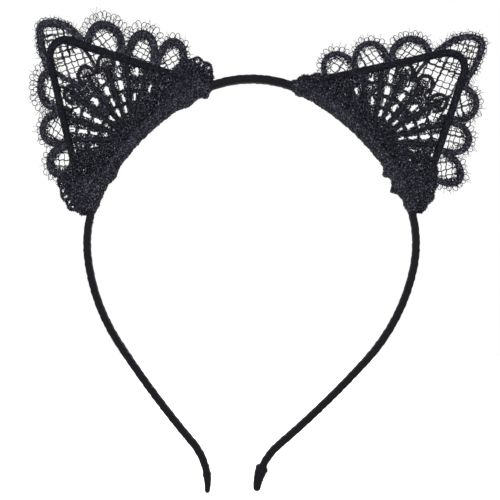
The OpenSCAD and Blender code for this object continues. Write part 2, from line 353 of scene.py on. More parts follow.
class Stitchwork:
    """Collects tubes and stitches of thread, as plain arrays, and makes one mesh of them."""

    # A stitch's rings: place as a share of its length, rise as a share of its arch, share of its radius
    STITCH: ClassVar[tuple[tuple[float, float, float], ...]] = (
        (-0.5, -1.0, 0.75), (-0.22, 0.7, 1.0), (0.22, 0.7, 1.0), (0.5, -1.0, 0.75))

    def __init__(self) -> None:
        """Starts with no thread."""
        self.verts: list[np.ndarray] = []
        self.faces: list[np.ndarray] = []
        self.ends: list[list[int]] = []
        self.count = 0

    def _add(self, rings: np.ndarray, closed: bool = False) -> None:
        """Joins rings of points to a tube.

        Args:
            rings: Array of shape (rings, sides, 3).
            closed: True for a loop with no ends.
        """
        n, m, _ = rings.shape
        self.verts.append(rings.reshape(-1, 3))
        self.faces.append(self.count + ring_quads(n, m, closed))
        if not closed:
            self.ends += [[self.count + k for k in end] for end in ring_ends(n, m)]
        self.count += n * m

    def tube(self, line: np.ndarray, half_width: float | np.ndarray,
             half_height: float | np.ndarray | None = None, sides: int = 6, closed: bool = False,
             up: np.ndarray | None = None) -> None:
        """Adds a tube that lies along a line.

        Args:
            line: Points of the tube's centre, of shape (n, 3).
            half_width: Half its size across the plane, for the whole tube or for each point.
            half_height: Half its size along up, if it isn't round.
            sides: Number of sides.
            closed: True for a loop.
            up: Directions that stand for up, of shape (3,) or (n, 3); +h if left out.
        """
        line = np.asarray(line, float)
        n = len(line)
        if closed:
            run = np.roll(line, -1, 0) - np.roll(line, 1, 0)
        else:
            run = np.gradient(line, axis=0)
        run = unit(run)
        across = unit(np.cross(np.broadcast_to(FRONT if up is None else up, (n, 3)), run))
        top = np.cross(run, across)
        wide = np.broadcast_to(half_width, (n,))
        high = wide if half_height is None else np.broadcast_to(half_height, (n,))
        turn = np.arange(sides) / sides * FULL_TURN
        rings = (line[:, None] + across[:, None] * (wide[:, None] * np.cos(turn))[..., None]
                 + top[:, None] * (high[:, None] * np.sin(turn))[..., None])
        self._add(rings, closed)

    def stitches(self, at: np.ndarray, along: np.ndarray, up: np.ndarray, length: np.ndarray | float,
                 radius: float, arch: float) -> None:
        """Adds many short bent stitches.

        Args:
            at: Middles of the stitches, of shape (n, 3).
            along: Their directions, of shape (n, 3).
            up: The directions in which they stand proud, of shape (3,) or (n, 3).
            length: Their lengths.
            radius: Half the thread's thickness.
            arch: How far the middle stands above the ends.
        """
        n = len(at)
        if not n:
            return
        lift = np.broadcast_to(up, (n, 3))
        reach = np.broadcast_to(length, (n,))[:, None]
        rings, sides = len(self.STITCH), 4
        across = unit(np.cross(lift, along))
        turn = (np.arange(sides) + 0.5) / sides * FULL_TURN
        ring = across[:, None] * np.cos(turn)[None, :, None] + lift[:, None] * np.sin(turn)[None, :, None]
        rows = [(at + along * reach * spot + lift * (arch * rise))[:, None] + ring * (radius * thick)
                for spot, rise, thick in self.STITCH]
        self.verts.append(np.stack(rows, axis=1).reshape(-1, 3))
        first = self.count + np.arange(n)[:, None] * sides * rings
        self.faces.append((first[:, None] + ring_quads(rings, sides)[None]).reshape(-1, 4))
        self.faces += [first + np.array([end]) for end in ring_ends(rings, sides)]
        self.count += n * sides * rings

    def satin_cord(self, line: np.ndarray, half_width: float, half_height: float,
                   rng: np.random.Generator, pitch: float = 0.42, thread: float = 0.2) -> None:
        """Adds a raised cord: a soft core with thread stitched across it, side by side.

        Args:
            line: Points of the cord's centre.
            half_width: Half the cord's width.
            half_height: Half its height.
            rng: Source of the small irregularities.
            pitch: Distance between stitches.
            thread: Half the thread's thickness.
        """
        core, stitch_rise = 0.86, half_height * 0.45
        self.tube(line, half_width * core, half_height * core, 8)
        spots, runs = evenly(line, pitch)
        n = len(spots)
        side = beside(runs)
        along = unit(side + runs * (0.35 + 0.25 * rng.standard_normal((n, 1))))
        jog = side * (rng.standard_normal((n, 1)) * half_width * 0.1)
        length = 2 * half_width * (1 + 0.14 * rng.standard_normal(n))
        for way in (1, -1):
            self.stitches(spots + jog + FRONT * way * stitch_rise, along, FRONT * way, length, thread,
                          stitch_rise)

    def piece(self, name: str, lay: Callable[[np.ndarray], np.ndarray], material: Material,
              flip: bool = False) -> Object:
        """Makes the mesh object.

        Args:
            name: The piece's name.
            lay: Takes points in mm in the drawing's frame to points in mm in the object's frame.
            material: Its material.
            flip: True if lay mirrors, so that faces need turning over.

        Returns:
            The new object.
        """
        points = lay(np.concatenate(self.verts)) * MM
        quads = np.concatenate(self.faces)
        faces = quads.tolist() + self.ends
        if flip:
            faces = [face[::-1] for face in faces]
        return mesh_piece(name, points, faces, material)


def mesh_piece(name: str, points: np.ndarray, faces: list[list[int]], material: Material,
               uvs: np.ndarray | None = None) -> Object:
    """Makes a mesh object from points and faces.

    Args:
        name: The piece's name.
        points: Points in metres.
        faces: Lists of point numbers.
        material: Its material.
        uvs: A pair for each point, if the material needs them.

    Returns:
        The new object, smooth shaded.
    """
    mesh = bpy.data.meshes.new(name)
    mesh.from_pydata(points.tolist(), [], faces)
    mesh.polygons.foreach_set("use_smooth", [True] * len(mesh.polygons))
    if uvs is not None:
        layer = mesh.uv_layers.new(name="UVMap")
        order = np.empty(len(mesh.loops), np.int32)
        mesh.loops.foreach_get("vertex_index", order)
        layer.data.foreach_set("uv", uvs[order].astype(np.float32).ravel())
    mesh.materials.append(material)
    mesh.update()
    piece = bpy.data.objects.new(name, mesh)
    bpy.context.scene.collection.objects.link(piece)
    return piece


def evenly(line: np.ndarray, pitch: float) -> tuple[np.ndarray, np.ndarray]:
    """Places points at an even pitch along a line.

    Args:
        line: Points, of shape (n, 3).
        pitch: Distance between the new points.

    Returns:
        The new points, and the line's direction at each.
    """
    steps = np.linalg.norm(np.diff(line, axis=0), axis=1)
    far = np.concatenate([[0], np.cumsum(steps)])
    count = max(2, int(round(far[-1] / pitch)))
    want = np.linspace(0, far[-1], count)
    spots = np.stack([np.interp(want, far, line[:, k]) for k in range(3)], 1)
    return spots, unit(np.gradient(spots, axis=0))


def smoothed(points: Route, step: float = 0.4) -> np.ndarray:
    """Draws a smooth curve through a few points of the plane.

    Args:
        points: The points that it passes through.
        step: Distance between the curve's points.

    Returns:
        Points of shape (n, 3), with h at 0.
    """
    p = np.array(points, float)
    p = np.vstack([2 * p[0] - p[1], p, 2 * p[-1] - p[-2]])
    out = []
    for a, b, c, d in zip(p, p[1:], p[2:], p[3:]):
        t = np.linspace(0, 1, max(3, int(np.linalg.norm(c - b) / step)), endpoint=False)[:, None]
        square, cube = 2 * a - 5 * b + 4 * c - d, 3 * b - a - 3 * c + d
        out.append(0.5 * (2 * b + (c - a) * t + square * t**2 + cube * t**3))
    out.append(p[-2:-1])
    flat = np.vstack(out)
    return np.column_stack([flat, np.zeros(len(flat))])


def inside(points: np.ndarray, outline: np.ndarray) -> np.ndarray:
    """Tells which points lie inside an outline.

    Args:
        points: Points, of shape (n, 2 or more).
        outline: The outline's corners in order, of shape (m, 2 or more).

    Returns:
        An array of n truths.
    """
    x, y = points[:, 0:1], points[:, 1:2]
    x0, y0 = outline[:, 0], outline[:, 1]
    x1, y1 = np.roll(x0, -1), np.roll(y0, -1)
    spans = (y0 > y) != (y1 > y)
    cross = (x1 - x0) * (y - y0) / np.where(y1 == y0, 1e-9, y1 - y0) + x0
    return (np.sum(spans & (x < cross), axis=1) % 2).astype(bool)


def stretches(mask: np.ndarray) -> list[tuple[int, int]]:
    """Finds the unbroken stretches of truths in a mask, as (first, last + 1)."""
    edge = np.flatnonzero(np.diff(np.concatenate([[0], mask.astype(int), [0]])))
    return list(zip(edge[::2], edge[1::2]))


# ---- The band ----


@dataclass
class BandLine:
    """The band's centreline, as arcs of (radius, degrees) from the crown's top. A negative arc bends out."""

    start: float = 2.1  # height of the centreline above the origin
    crown: Arcs = ((46.0, 29.0), (91.0, 31.0), (47.0, 28.5))
    arms: dict[Side, Arcs] = field(default_factory=lambda: {
        Side.RIGHT: ((47.0, 14.0), (76.0, 30.0), (380.0, 7.0), (-25.0, -45.0)),
        Side.LEFT: ((47.0, 8.0), (76.0, 26.5), (380.0, 7.2), (-25.0, -46.0)),
    })

    def arcs(self, side: Side) -> Arcs:
        """All the arcs of one side, from the top of the crown to the tip."""
        return self.crown + self.arms[side]

    def length(self, arcs: Arcs) -> float:
        """Length of some arcs, in mm."""
        return sum(abs(radius * math.radians(sweep)) for radius, sweep in arcs)

    def at(self, side: Side, run: np.ndarray) -> np.ndarray:
        """Finds places on the centreline.

        Args:
            side: Which half of the band.
            run: Distances from the top of the crown, in mm.

        Returns:
            Rows of x, z and heading in radians, before any mirroring.
        """
        run = np.atleast_1d(np.asarray(run, float))
        out = np.zeros((len(run), 3))
        x, z, heading, gone = 0.0, self.start, 0.0, 0.0
        arcs = self.arcs(side)
        for number, (radius, sweep) in enumerate(arcs):
            long = abs(radius * math.radians(sweep))
            last = number == len(arcs) - 1
            chosen = (run >= gone) if last else (run >= gone) & (run < gone + long)
            turn = heading + (run[chosen] - gone) / radius
            out[chosen, 0] = x + radius * (np.sin(turn) - math.sin(heading))
            out[chosen, 1] = z + radius * (np.cos(turn) - math.cos(heading))
            out[chosen, 2] = turn
            after = heading + math.radians(sweep)
            x += radius * (math.sin(after) - math.sin(heading))
            z += radius * (math.cos(after) - math.cos(heading))
            heading, gone = after, gone + long
        return out

    def point(self, side: Side, run: float) -> tuple[float, float, float]:
        """A point of the centreline, in metres in the object's frame."""
        x, z, _ = self.at(side, np.array([run]))[0]
        return (side.value * x * MM, 0.0, z * MM)


@dataclass
class Sleeve:
    """A closed skin round the band, from one run to another, whose section changes on the way.

    A negative run lies on the other half of the band, so a sleeve can pass over the crown.
    """

    line: BandLine
    side: Side
    first: float
    last: float
    step: float = 0.35
    sides: int = 32
    squareness: float = 0.62  # 1 is an ellipse, and less is nearer to a rectangle
    girth: float = 16.0  # the way round, in mm, as the ribbon's pattern counts it

    def piece(self, name: str, material: Material, section: SectionRule) -> Object:
        """Makes the sleeve.

        Args:
            name: The piece's name.
            material: Its material.
            section: Takes runs (n, 1) and angles (1, m) to the section there.

        Returns:
            The new object, with UVs in mm round and along the band.
        """
        run = np.linspace(self.first, self.last, int((self.last - self.first) / self.step) + 2)
        turn = np.arange(self.sides) / self.sides * FULL_TURN
        thick, wide, shift = section(run[:, None], turn[None, :])
        c, s = np.cos(turn), np.sin(turn)
        out = shift + thick * np.sign(c) * np.abs(c) ** self.squareness
        deep = wide * np.sign(s) * np.abs(s) ** self.squareness
        place = self.line.at(self.side, np.abs(run))
        x = place[:, 0:1] + out * np.sin(place[:, 2:3])
        z = place[:, 1:2] + out * np.cos(place[:, 2:3])
        half = self.side.value * np.where(run < 0, -1, 1)[:, None]
        grid = np.stack([half * x, np.broadcast_to(deep, x.shape), z], -1)
        faces = ring_quads(*x.shape).tolist() + ring_ends(*x.shape)
        if self.side is Side.LEFT:
            faces = [face[::-1] for face in faces]
        round_mm = turn / FULL_TURN * self.girth
        uvs = np.stack([np.broadcast_to(run[:, None], x.shape), np.broadcast_to(round_mm, x.shape)], -1)
        return mesh_piece(name, grid.reshape(-1, 3) * MM, faces, material, uvs.reshape(-1, 2))


@dataclass(frozen=True)
class TipFold:
    """The ribbon folded over an arm's tip, and how the arm narrows in it."""

    long: float  # length of arm that the fold covers
    swell: float  # how far its mouth stands out
    slim: float  # share of the arm's thickness that is lost at the end
    snug: float  # gap between arm and fold
    overhang: float = 0.9  # how far it passes the arm's end


@dataclass
class Band:
    """The sprung strip and the ribbon wound round it."""

    TIPS: ClassVar[dict[Side, TipFold]] = {
        Side.RIGHT: TipFold(9.0, 0.95, 0.28, 0.22),
        Side.LEFT: TipFold(7.0, 0.2, 0.36, 0.12),
    }

    line: BandLine
    wardrobe: Wardrobe
    strip_half: tuple[float, float] = (0.5, 2.5)
    crown_half: float = 1.52
    arm_half: float = 1.28
    half_width: float = 2.72
    wind_pitch: float = 5.2
    lap: float = 0.2  # thickness of the ribbon's edge where one turn covers the last
    bend: float = 13.0  # distance either side of an arm's joint
    seam_back: float = 30.0  # how far before the joints the ribbon's lengths meet, under the ears
    tuck: float = 6.0  # how far an arm's ribbon runs on beneath the crown's
    end_round: float = 1.6  # length over which an arm's end is rounded
    thin_from: float = 40.0  # run at which the ribbon starts to lie thinner
    thin_over: float = 50.0  # length over which it gets there
    crown_turns: float = 60.0  # start of the winding's pattern over the crown

    def __post_init__(self) -> None:
        """Finds the arms' joints and where the ribbon's three lengths meet."""
        self.joint_run = self.line.length(self.line.crown)
        self.seam_run = self.joint_run - self.seam_back

    def wound(self, run: np.ndarray, turn: np.ndarray) -> Section:
        """Section of the wound ribbon: each turn laps the last, along a slanting edge.

        Args:
            run: Distances from the top of the crown.
            turn: Angles round the band, from its outer face.

        Returns:
            The section there.
        """
        phase = (run / self.wind_pitch + turn / FULL_TURN + 0.04 * np.sin(run * 0.9)) % 1.0
        edge = np.clip(phase / 0.10, 0, 1) * (1 - 0.55 * np.clip((phase - 0.10) / 0.9, 0, 1))
        edge = edge * self.lap + 0.04 * np.sin(run * 2.3 + 3 * turn)
        thinner = np.clip((run - self.thin_from) / self.thin_over, 0, 1)
        thick = self.crown_half + (self.arm_half - self.crown_half) * thinner + edge
        return thick, self.half_width + edge, np.zeros_like(thick)

    def flat(self, run: np.ndarray, turn: np.ndarray) -> Section:
        """Section of the bare strip, the same everywhere."""
        shape = np.ones(np.broadcast(run, turn).shape)
        return shape * self.strip_half[0], shape * self.strip_half[1], shape * 0

    def flexing(self, piece: Object, side: Side) -> None:
        """Bakes a piece's placement into its mesh."""
        self.line.point(side, self.joint_run - self.bend)
        self.line.point(side, self.joint_run + self.bend)
        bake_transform(piece)

    def build_crown(self) -> None:
        """Makes the strip and the ribbon between the two ears."""
        half = self.seam_run

        def over_top(run: np.ndarray, turn: np.ndarray) -> Section:
            """Section of the ribbon between the ears, nowhere thinner than the crown.

            Args:
                run: Distances from the top of the crown.
                turn: Angles round the band, from its outer face.

            Returns:
                The section there.
            """
            thick, wide, shift = self.wound(run + half + self.crown_turns, turn)
            thick = thick + self.crown_half - self.arm_half
            return np.where(np.abs(run) < half, self.crown_half + (thick - thick.min()), thick), wide, shift

        sleeve = Sleeve(self.line, Side.RIGHT, -half, half, 0.352)
        for name, material, section, slot, node in (
                ("crown_ribbon_winding", self.wardrobe.ribbon, over_top, "satin_ribbon", "crown_ribbon"),
                ("crown_strip", self.wardrobe.spring, self.flat, "spring_steel", "crown_spring_strip")):
            piece = sleeve.piece(name, material, section)
            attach(piece, CROWN)
            stand_for(piece, slot, node)

    def build_arm(self, side: Side) -> None:
        """Makes one arm's strip, wound ribbon and folded tip.

        Args:
            side: Which arm.
        """
        end = self.line.length(self.line.arcs(side))
        arm, tip = side.word + "_arm", self.TIPS[side]

        def tapered(run: np.ndarray) -> np.ndarray:
            """Share of the thickness that is left towards the end."""
            return 1 - tip.slim * np.clip((run - end + tip.long) / tip.long, 0, 1)

        def rounded(run: np.ndarray, turn: np.ndarray) -> Section:
            """Section of the wound ribbon, which narrows and closes at the arm's end.

            Args:
                run: Distances from the top of the crown.
                turn: Angles round the band, from its outer face.

            Returns:
                The section there.
            """
            thick, wide, shift = self.wound(run, turn)
            share = np.clip((run - end + self.end_round) / self.end_round, 0, 1)
            close = np.sqrt(np.clip(1 - share**2, 0.02, 1)) * tapered(run)
            return thick * close, wide * close, shift

        def folded(run: np.ndarray, turn: np.ndarray) -> Section:
            """Section of the fold: an open, puckered mouth, a crease down one side and a rounded end.

            Args:
                run: Distances from the top of the crown.
                turn: Angles round the band, from its outer face.

            Returns:
                The section there.
            """
            share = (run - end + tip.long) / (tip.long + tip.overhang)
            mouth = np.clip(share / 0.08, 0, 1)
            taper = 1 - 0.72 * np.clip(share, 0, 1) ** 1.2
            close = np.sqrt(np.clip(1 - np.clip((share - 0.84) / 0.16, 0, 1) ** 2.4, 0.015, 1))
            crease = 0.14 * np.clip(np.cos(turn - 0.9 - 0.5 * share), 0.55, 1)
            pucker = 0.07 * np.sin(run * 3.1 + 2 * turn) * (1 - share)
            extra = (tip.swell * taper + crease + pucker) * (0.55 + 0.45 * mouth)
            close = close * tapered(run)
            return ((self.arm_half + tip.snug + extra) * close,
                    (self.half_width + tip.snug + extra * 0.7) * close,
                    np.zeros_like(extra) + 0.1 * tip.swell)

        ribbon = Sleeve(self.line, side, self.seam_run - self.tuck, end).piece(
            arm + "_ribbon_winding", self.wardrobe.ribbon, rounded)
        self.flexing(ribbon, side)
        stand_for(ribbon, "satin_ribbon", arm + "_ribbon")
        strip = Sleeve(self.line, side, self.seam_run + 0.5, end - tip.long, 1.0, 12, 0.3).piece(
            arm + "_strip", self.wardrobe.spring, self.flat)
        self.flexing(strip, side)
        stand_for(strip, "spring_steel", arm + "_spring_strip")
        fold = Sleeve(self.line, side, end - tip.long, end + tip.overhang, 0.12).piece(
            side.word + "_tip_fold", self.wardrobe.ribbon, folded)
        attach(fold, arm)
        stand_for(fold, "satin_ribbon", side.word + "_tip_cap")


# ---- The ears ----


@dataclass(frozen=True)
class Scallop:
    """One scallop of the border, on one leg of the ear's wire."""

    way: int  # -1 on the crown side, 1 on the temple side
    height: float  # height of the middle of its foot
    width: float
    bulge: float
    weave_turn: float  # degrees by which its net is turned
    fringe: int = 1  # rows of picot loops
    cord: float = 1.05  # half the width of its cord
    skew: float = 0.0  # how far its top leans towards the ear's tip


@dataclass
class EarPlane:
    """The flat frame in which an ear is drawn, and how it lies on the band."""

    line: BandLine
    side: Side
    lean: float  # how far the ear's tip leans towards the crown
    station: float = 19.0  # degrees of the band's second arc to the middle of the ear's base
    drawn_lean: float = 1.0  # the lean at which the ears are drawn
    foot: float = -4.5  # height of the wire's feet in the drawing
    leg: float = 58.0  # height above them at which the lean is measured
    cup: float = 1.0  # how far the ear bulges to the front
    ripple: float = 0.5  # how far its border waves

    def __post_init__(self) -> None:
        """Finds the middle of the ear's base on the band."""
        first, second = self.line.crown[0], self.line.crown[1]
        self.run = self.line.length((first, (second[0], self.station)))
        self.x, self.z, self.turn = self.line.at(self.side, np.array([self.run]))[0]

    def lay(self, points: np.ndarray) -> np.ndarray:
        """Leans and cups the drawing, and lays it on the band.

        Args:
            points: Points (x, y, h) of the drawing.

        Returns:
            The same points in the object's frame, in mm.
        """
        x, y, h = points[:, 0].copy(), points[:, 1], points[:, 2]
        x -= (self.lean - self.drawn_lean) * np.clip(y - self.foot, 0, None) / self.leg
        cup = self.cup * np.sin(0.10 * x + 0.8) * np.sin(np.clip(y, 0, 60) * 0.075)
        cup += self.ripple * np.sin(0.42 * x + 0.31 * y) * np.clip((np.hypot(x, y - 8) - 24) / 16, 0, 1)
        c, s = math.cos(self.turn), math.sin(self.turn)
        return np.stack([self.side.value * (self.x + x * c + y * s), -(h + cup), self.z - x * s + y * c], 1)

    def band_height(self, x: np.ndarray) -> np.ndarray:
        """Finds how high the band's centreline lies in the drawing.

        Args:
            x: Places along the ear's base.

        Returns:
            The centreline's y at each.
        """
        run = self.run + np.linspace(-45, 40, 341)
        place = self.line.at(self.side, run)
        dx, dz = place[:, 0] - self.x, place[:, 1] - self.z
        c, s = math.cos(self.turn), math.sin(self.turn)
        return np.interp(x, dx * c - dz * s, dx * s + dz * c)

    def world(self, x: float, y: float) -> tuple[float, float, float]:
        """A point of the drawing in metres in the object's frame, with no cup."""
        c, s = math.cos(self.turn), math.sin(self.turn)
        return (self.side.value * (self.x + x * c + y * s) * MM, 0.0, (self.z - x * s + y * c) * MM)


@dataclass
class LaceEar:
    """One ear: bound wire, net, fan, scallops, fringe and gathered corners."""

    # The raised work and the folded hem, which are pieces on the sheet of lace
    WORKED: ClassVar[tuple[str, ...]] = (
        "fan_back", "fan_front", "fan_cords", "scallop_border", "apex_border", "picot_edge",
        "upper_corner_frill", "lower_corner_frill", "band_wrap", "band_wrap_stitches",
        "upper_gather_lace", "upper_gather_stitches", "lower_gather_lace", "lower_gather_stitches")
    PLAIN_BARS: ClassVar[tuple[Route, ...]] = (
        ((-6.6, 27.5), (-8.4, 33.5), (-8.8, 40.0)), ((4.8, 26.5), (6.0, 31.0), (7.4, 35.0)),
        ((-15.6, 21.5), (-16.6, 25.0), (-18.0, 27.0)))

    plane: EarPlane
    wardrobe: Wardrobe
    seed: int
    scallops: tuple[Scallop, ...]
    cut: tuple[float, float] = (0.066, 0.060)  # width and height of the lace as it was cut, in metres
    threads: float = 0.0012  # the part of it that the net's threads cover, in square metres
    feet: tuple[tuple[float, float], tuple[float, float]] = ((-34.5, -4.5), (32.0, -4.5))
    corner: tuple[float, float] = (-1.0, 54.0)
    tip_bend: float = 6.2  # radius of the bend at the wire's tip
    bound_half: float = 1.45  # half the thickness of the bound wire
    wire_half: float = 0.6
    column_step: float = 17.3  # degrees between the fan's columns of holes
    column_first: float = -66.0
    columns: int = 8
    hole_rows: tuple[float, ...] = (9.0, 13.2, 17.8, 22.6, 27.0)
    fan_foot: float = 1.0  # height of the point from which the fan spreads
    fan_reach: float = 28.5
    net_pitch: float = 2.35
    net_half: float = 0.18
    apex: Route = ()  # line of the pointed loop, from the crown side to the temple side
    hems: tuple[Route, ...] = ()  # lines of the frilled edges at the ear's two corners
    apex_cord: float = 1.2
    plump: float = 1.3  # how much wider the scallops' cords lie than they were wound
    gathers: tuple[tuple[float, ...], tuple[float, ...]] = ((3.9, 3.5, 0.4, 1.0), (5.0, 4.6, 0.62, 1.0))
    ladder: float = 2.3  # distance between the small holes along a frilled edge
    frill: float = 5.2  # length of one wave of a frilled edge
    bars: tuple[Route, ...] = ()  # thick cords that part the panel's windows, beside the plain ones
    tufts: tuple[tuple[float, float, float], ...] = ()  # bumps on the head side, as (run, height, width)
    bend_low: float = 1.2  # two heights on the ear's middle line
    bend_high: float = 7.5

    def __post_init__(self) -> None:
        """Seeds the irregularities and draws the wire's line."""
        self.rng = np.random.default_rng(self.seed)
        self.word = self.plane.side.word
        self.wire = self._wire_line()

    # The drawing's curves

    def leg_foot(self, way: int) -> np.ndarray:
        """The foot of the leg on the crown side, -1, or on the temple side, 1."""
        return np.array(self.feet[0 if way < 0 else 1])

    def leg_point(self, way: int, height: float) -> np.ndarray:
        """The point of a leg's centreline at a height."""
        foot, corner = self.leg_foot(way), np.array(self.corner)
        return foot + (corner - foot) * (height - foot[1]) / (corner[1] - foot[1])

    def leg_run(self, way: int) -> tuple[np.ndarray, np.ndarray]:
        """Finds which way a leg runs.

        Args:
            way: -1 for the leg on the crown side, 1 for the one on the temple side.

        Returns:
            Its upward direction and its outward normal.
        """
        up = np.array(self.corner) - self.leg_foot(way)
        up = up / np.linalg.norm(up)
        return up, np.array([up[1], -up[0]]) * way

    def _wire_line(self) -> np.ndarray:
        """The line of the whole wire, from foot to foot, rounded at the tip."""
        left, left_out = self.leg_run(-1)
        right, _ = self.leg_run(1)
        half = math.acos(float(np.dot(left, right))) / 2
        back = self.tip_bend / math.tan(half)
        corner = np.array(self.corner)
        start, end = corner - left * back, corner - right * back
        centre = start - left_out * self.tip_bend
        first = math.atan2(*(start - centre)[::-1])
        last = math.atan2(*(end - centre)[::-1])
        bend = [centre + self.tip_bend * np.array([math.cos(a), math.sin(a)])
                for a in np.linspace(first, last, 40)]
        up = [self.leg_foot(-1) + (start - self.leg_foot(-1)) * t for t in np.linspace(0, 1, 90)[:-1]]
        down = [end + (self.leg_foot(1) - end) * t for t in np.linspace(0, 1, 90)[1:]]
        flat = np.array(up + bend + down)
        wobble = 0.18 * np.sin(np.arange(len(flat)) * 0.21 + self.seed)
        return np.column_stack([flat, wobble])

    def arch(self, scallop: Scallop, grow: float = 0.0) -> np.ndarray:
        """Draws the line of a scallop's cord, from foot to foot.

        Args:
            scallop: The scallop.
            grow: How far outside the cord's centre the line lies.

        Returns:
            Points of the drawing.
        """
        middle = self.leg_point(scallop.way, scallop.height)
        up, out = self.leg_run(scallop.way)
        t = np.linspace(0.0, math.pi, 64)[:, None]
        round_off = np.sin(t) ** 0.7
        flat = (middle - up * np.cos(t) * (scallop.width / 2 - scallop.cord + grow)
                + out * round_off * (scallop.bulge - scallop.cord + grow)
                + up * np.sin(t) * scallop.skew)
        wave = 0.25 * np.sin(6 * t[:, 0] + scallop.height)
        return np.column_stack([flat, wave])

    def apex_line(self, grow: float = 0.0) -> np.ndarray:
        """Draws the line of the pointed loop above the wire's tip.

        Args:
            grow: How far outside the cord's centre the line lies.

        Returns:
            Points of the drawing.
        """
        line = smoothed(self.apex)
        return line + beside(unit(np.gradient(line, axis=0))) * grow

    # Pieces

    def finish(self, piece: Object, slot: str, *nodes: str) -> Object:
        """Bakes a piece's placement into its mesh, hides the solids it stands for, and reports it.

        Args:
            piece: The piece.
            slot: The name of a material slot, handed on to stand_for.
            nodes: Names of the solids it replaces, without the ear's own prefix.

        Returns:
            The same piece.
        """
        self.plane.world(0, self.bend_low)
        self.plane.world(0, self.bend_high)
        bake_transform(piece)
        stand_for(piece, slot, *(self.named(node) for node in nodes))
        return piece

    def named(self, name: str) -> str:
        """A piece's or solid's full name."""
        return f"{self.word}_ear_{name}"

    def make(self, work: Stitchwork, name: str, material: Material) -> Object:
        """Makes a mesh object of some stitchwork, laid on the ear's plane."""
        return work.piece(self.named(name), self.plane.lay, material, self.plane.side is Side.RIGHT)

    def build_wire(self) -> None:
        """Makes the wire and the thread bound round it."""
        steel = Stitchwork()
        steel.tube(self.wire, self.wire_half, sides=10)
        self.finish(self.make(steel, "frame_wire", self.wardrobe.wire), "florist_wire", "wire")
        bound = Stitchwork()
        bound.tube(self.wire, self.bound_half * 0.88, sides=12)
        spots, runs = evenly(self.wire, 0.36)
        n, faces = len(spots), 8
        for k in range(faces):
            turn = FULL_TURN * (k + 0.5) / faces
            out = beside(runs) * math.cos(turn) + FRONT * math.sin(turn)
            round_way = unit(np.cross(runs, out) + runs * (0.25 + 0.15 * self.rng.standard_normal((n, 1))))
            swell = 1 + 0.05 * self.rng.standard_normal((n, 1))
            bound.stitches(spots + out * self.bound_half * 0.92 * swell, round_way, out, 1.15, 0.19, 0.06)
        piece = self.make(bound, "wire_winding", self.wardrobe.wound)
        self.finish(piece, "binding_thread", "wire_binding", "wire_feet")

    def fan_place(self, points: np.ndarray) -> tuple[np.ndarray, np.ndarray]:
        """Distances from the fan's foot, and degrees from straight up."""
        x, y = points[:, 0], points[:, 1] - self.fan_foot
        return np.hypot(x, y), np.degrees(np.arctan2(x, y))

    def hole_map(self, points: np.ndarray, margin: float) -> np.ndarray:
        """Tells which points lie in the fan's little oblong holes.

        Args:
            points: Points of the drawing.
            margin: How far inside a hole's edge a point has to lie.

        Returns:
            An array of truths.
        """
        r, angle = self.fan_place(points)
        out = np.zeros(len(points), bool)
        for k in range(self.columns):
            middle = self.column_first + k * self.column_step
            edge = abs(k - 3.8) / 4
            across = np.abs(np.radians(angle - middle)) * r
            for number, (low, high) in enumerate(zip(self.hole_rows, self.hole_rows[1:])):
                if (k * 7 + number * 3 + self.seed) % 6 == 0 or (edge > 0.8 and number % 2):
                    continue
                gap = 0.70 + 0.155 * number - 0.35 * edge + 0.14 * math.sin(5 * k + 3 * number + self.seed)
                tall = (high - low) / 2 - 0.62
                mid = (high + low) / 2
                out |= (across < gap - margin) & (np.abs(r - mid) < tall - margin)
        return out

    def in_panel(self, points: np.ndarray, inset: float) -> np.ndarray:
        """Tells which points lie inside the wire and above the band.

        Args:
            points: Points of the drawing.
            inset: How far from the wire's centre a point has to lie.

        Returns:
            An array of truths.
        """
        ok = points[:, 1] > self.plane.band_height(points[:, 0]) - 1.0
        for way in (-1, 1):
            _, out = self.leg_run(way)
            ok &= (points[:, :2] - self.leg_foot(way)) @ out < -inset
        return ok

    def build_fan(self) -> None:
        """Makes the fan: dense ground, ribs between columns of holes, and a lobe at the end of each rib."""
        self._fan_ground(54000)
        work = Stitchwork()
        for k in range(self.columns + 1):
            at = math.radians(self.column_first + (k - 0.5) * self.column_step)
            way = np.array([math.sin(at), math.cos(at), 0.0])
            reach = self.fan_reach - 1.5 * abs(k - 4) / 4
            rib = np.array([0, self.fan_foot, 0.8]) + way * np.linspace(5.0, reach, 50)[:, None]
            rib = rib[self.in_panel(rib, 1.5)]
            if len(rib) > 6:
                work.satin_cord(rib, 0.85, 0.55, self.rng)
            self._lobe(work, at, reach)
        many = 160
        sweep = np.radians(self.column_first + np.linspace(-8, 8.1 * self.column_step, many))
        for low in self.hole_rows[1:-1]:
            ring = np.column_stack([low * np.sin(sweep), self.fan_foot + low * np.cos(sweep),
                                    np.full(many, 0.3)])
            for first, last in stretches(self.in_panel(ring, 1.2)):
                if last - first > 6:
                    work.satin_cord(ring[first:last], 0.48, 0.4, self.rng, 0.5, 0.16)
        self.finish(self.make(work, "fan_cords", self.wardrobe.rib), "lace_cord", "fan_ribs")

